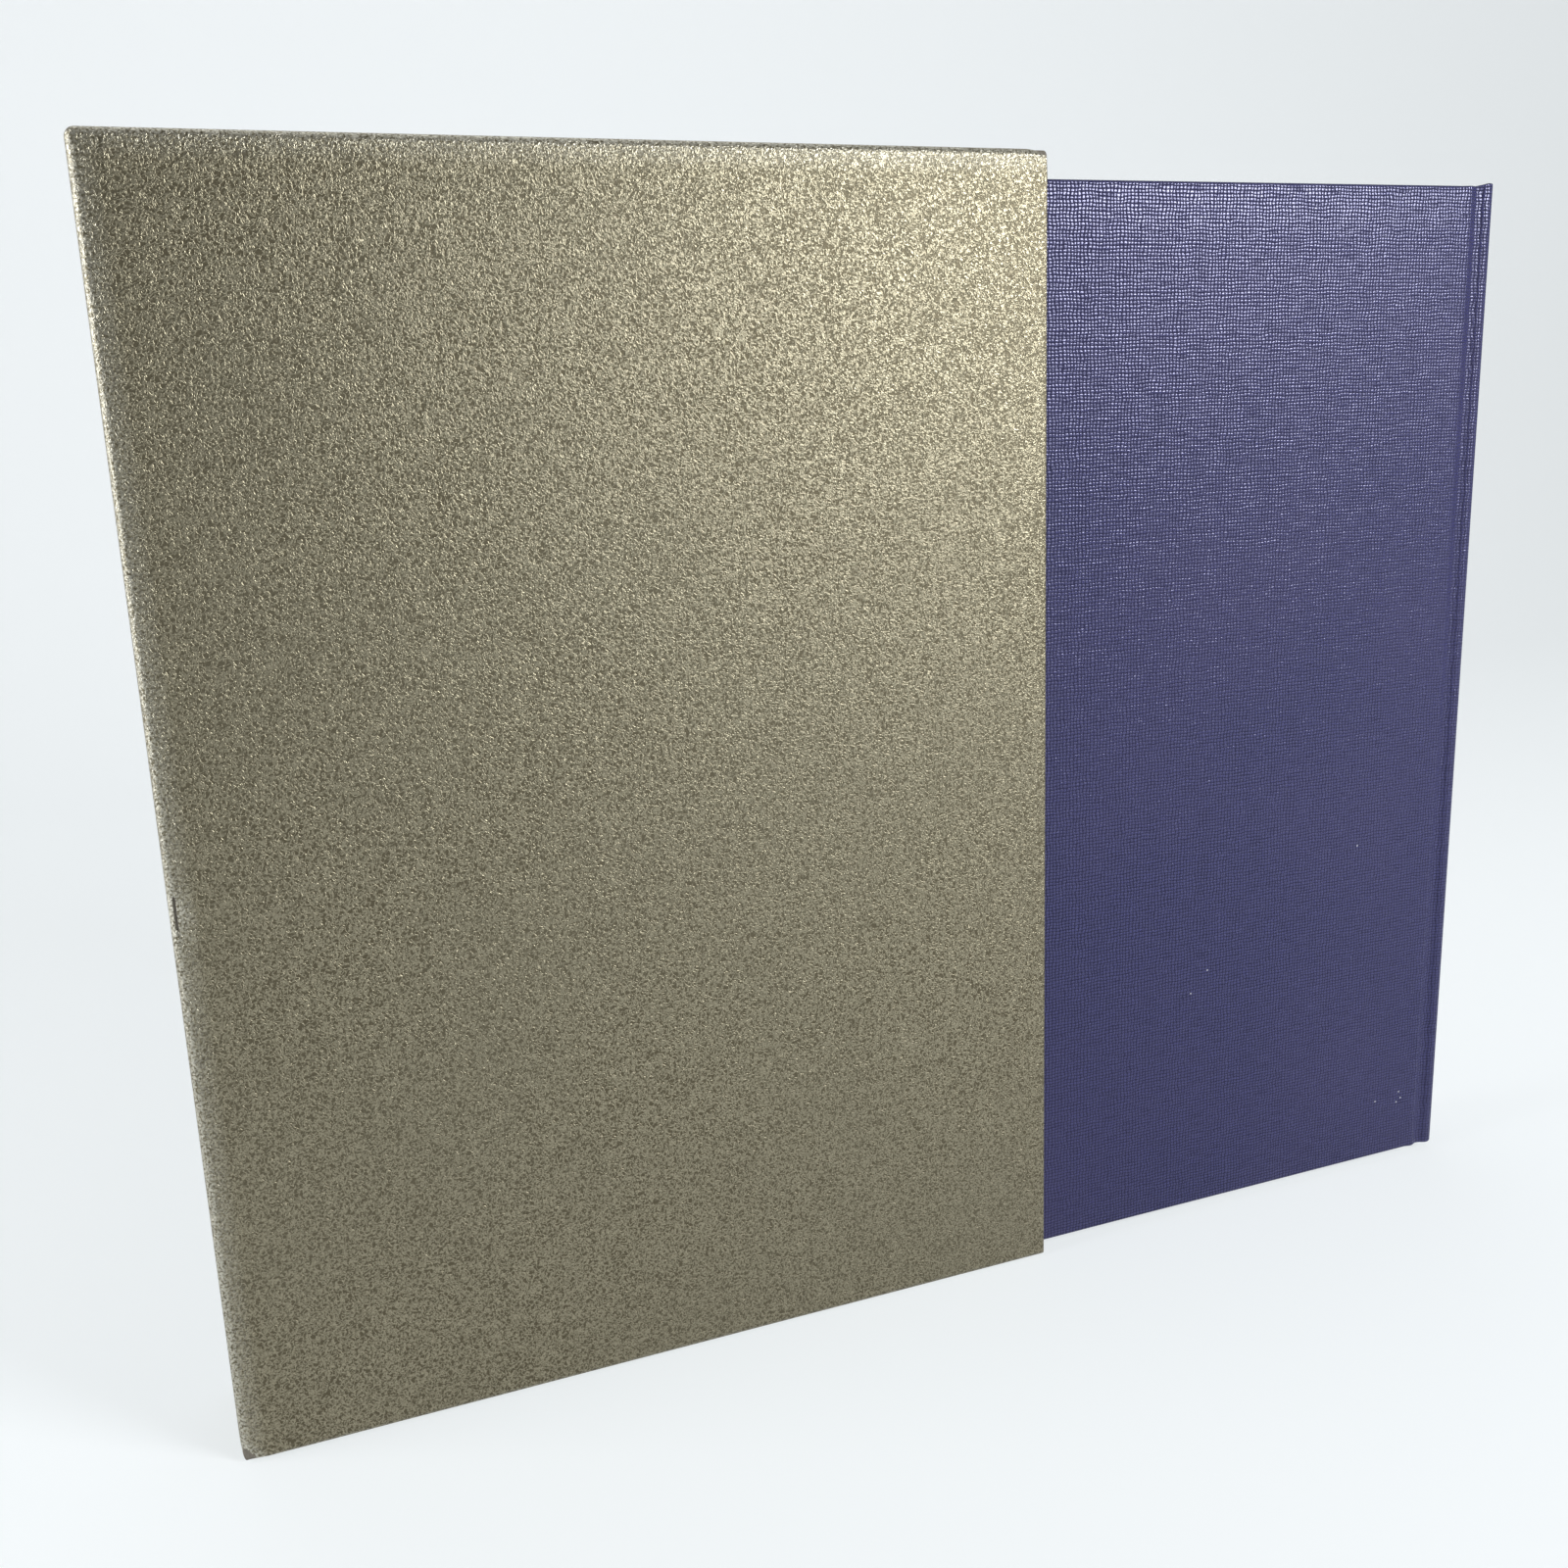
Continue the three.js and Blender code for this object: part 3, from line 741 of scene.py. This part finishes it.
def seamless_sheet():
    mesh = bmesh.new()
    front = mesh.verts.new((-FLOOR_REACH, -FLOOR_REACH, 0))
    far = mesh.verts.new((-FLOOR_REACH, BACKDROP_BEHIND, 0))
    mesh.edges.new((front, far))
    centre = (-FLOOR_REACH, BACKDROP_BEHIND, BACKDROP_BEND)
    bmesh.ops.spin(mesh, geom=[far], cent=centre, axis=(1, 0, 0), angle=math.pi / 2, steps=24)
    highest = max(mesh.verts, key=lambda vertex: vertex.co.z)
    lifted = bmesh.ops.extrude_vert_indiv(mesh, verts=[highest])["verts"]
    bmesh.ops.translate(mesh, vec=(0, 0, FLOOR_REACH), verts=lifted)
    drawn = bmesh.ops.extrude_edge_only(mesh, edges=mesh.edges[:])["geom"]
    moved = [part for part in drawn if isinstance(part, bmesh.types.BMVert)]
    bmesh.ops.translate(mesh, vec=(2 * FLOOR_REACH, 0, 0), verts=moved)
    bmesh.ops.remove_doubles(mesh, verts=mesh.verts, dist=SAME_PLACE)
    smooth_faces(mesh)
    return mesh


def white_card():
    material, tree, shader = new_material("white_card", Roughness=0.9, Base_Color=(0.86, 0.88, 0.90, 1))
    path = add_node(tree, "ShaderNodeLightPath").outputs
    seen = calculate(tree, "MAXIMUM", path["Is Camera Ray"], path["Is Glossy Ray"])
    seen = calculate(tree, "MAXIMUM", seen, path["Is Transmission Ray"])
    white = add_node(tree, "ShaderNodeEmission", {"Color": (0.94, 0.985, 1.0, 1), "Strength": 1.0})
    card = add_node(tree, "ShaderNodeMixShader", {"Fac": calculate(tree, "MULTIPLY", seen, WHITE_SHARE)})
    tree.links.new(shader.outputs[0], card.inputs[1])
    tree.links.new(white.outputs[0], card.inputs[2])
    tree.links.new(card.outputs[0], tree.nodes["Material Output"].inputs["Surface"])
    return material


sheet_data = bpy.data.meshes.new("white_card_sheet")
seamless_sheet().to_mesh(sheet_data)
white_card_sheet = bpy.data.objects.new("white_card_sheet", sheet_data)
bpy.context.scene.collection.objects.link(white_card_sheet)
sheet_data.materials.append(white_card())


# Light
# A soft lamp in front on the right, one on the left for the closed end, and one above for the floor.
# The room around looks white beyond the sheet, and adds only a little light.
def soft_lamp(name, place, target, size, power, colour):
    data = bpy.data.lights.new(name, "AREA")
    data.shape = "RECTANGLE"
    data.size, data.size_y = size
    data.energy = power
    data.color = colour
    lamp = bpy.data.objects.new(name, data)
    lamp.location = place
    lamp.rotation_euler = (Vector(target) - lamp.location).to_track_quat("-Z", "Y").to_euler()
    bpy.context.scene.collection.objects.link(lamp)


soft_lamp("front_lamp", (0.85, -0.95, 0.62), (0.1, 0, 0.2), (0.5, 0.5), 20, (0.97, 0.985, 1.0))
soft_lamp("left_lamp", (-1.0, 0.05, 0.5), (-0.1, 0, 0.2), (0.6, 0.8), 9, (1.0, 1.0, 1.0))
soft_lamp("top_lamp", (0.1, 0.45, 1.5), (0.05, 0.1, 0.2), (1.2, 1.2), 4.5, (1.0, 1.0, 1.0))
world = bpy.data.worlds.new("white_room")
world.use_nodes = True
room = world.node_tree.nodes["Background"]
room.inputs["Color"].default_value = (0.94, 0.985, 1.0, 1)
seen = add_node(world.node_tree, "ShaderNodeLightPath").outputs["Is Camera Ray"]
world.node_tree.links.new(ranged(world.node_tree, seen, 0.0, 1.0, 0.08, 1.0), room.inputs["Strength"])
bpy.context.scene.world = world


# Camera
# It stands near and a little to the left of the case's middle, below the top of the case.
CAMERA_PLACE = Vector((-111.07, -393.21, 256.11)) * MM
CAMERA_TURN = (76.193, 2.062, -22.056)
CAMERA_LENS = 36.347
camera_data = bpy.data.cameras.new("camera")
camera_data.lens = CAMERA_LENS
camera_data.sensor_width = 36
camera = bpy.data.objects.new("camera", camera_data)
camera.location = CAMERA_PLACE
camera.rotation_euler = [math.radians(angle) for angle in CAMERA_TURN]
bpy.context.scene.collection.objects.link(camera)
bpy.context.scene.camera = camera
bpy.context.scene.view_settings.view_transform = "Standard"
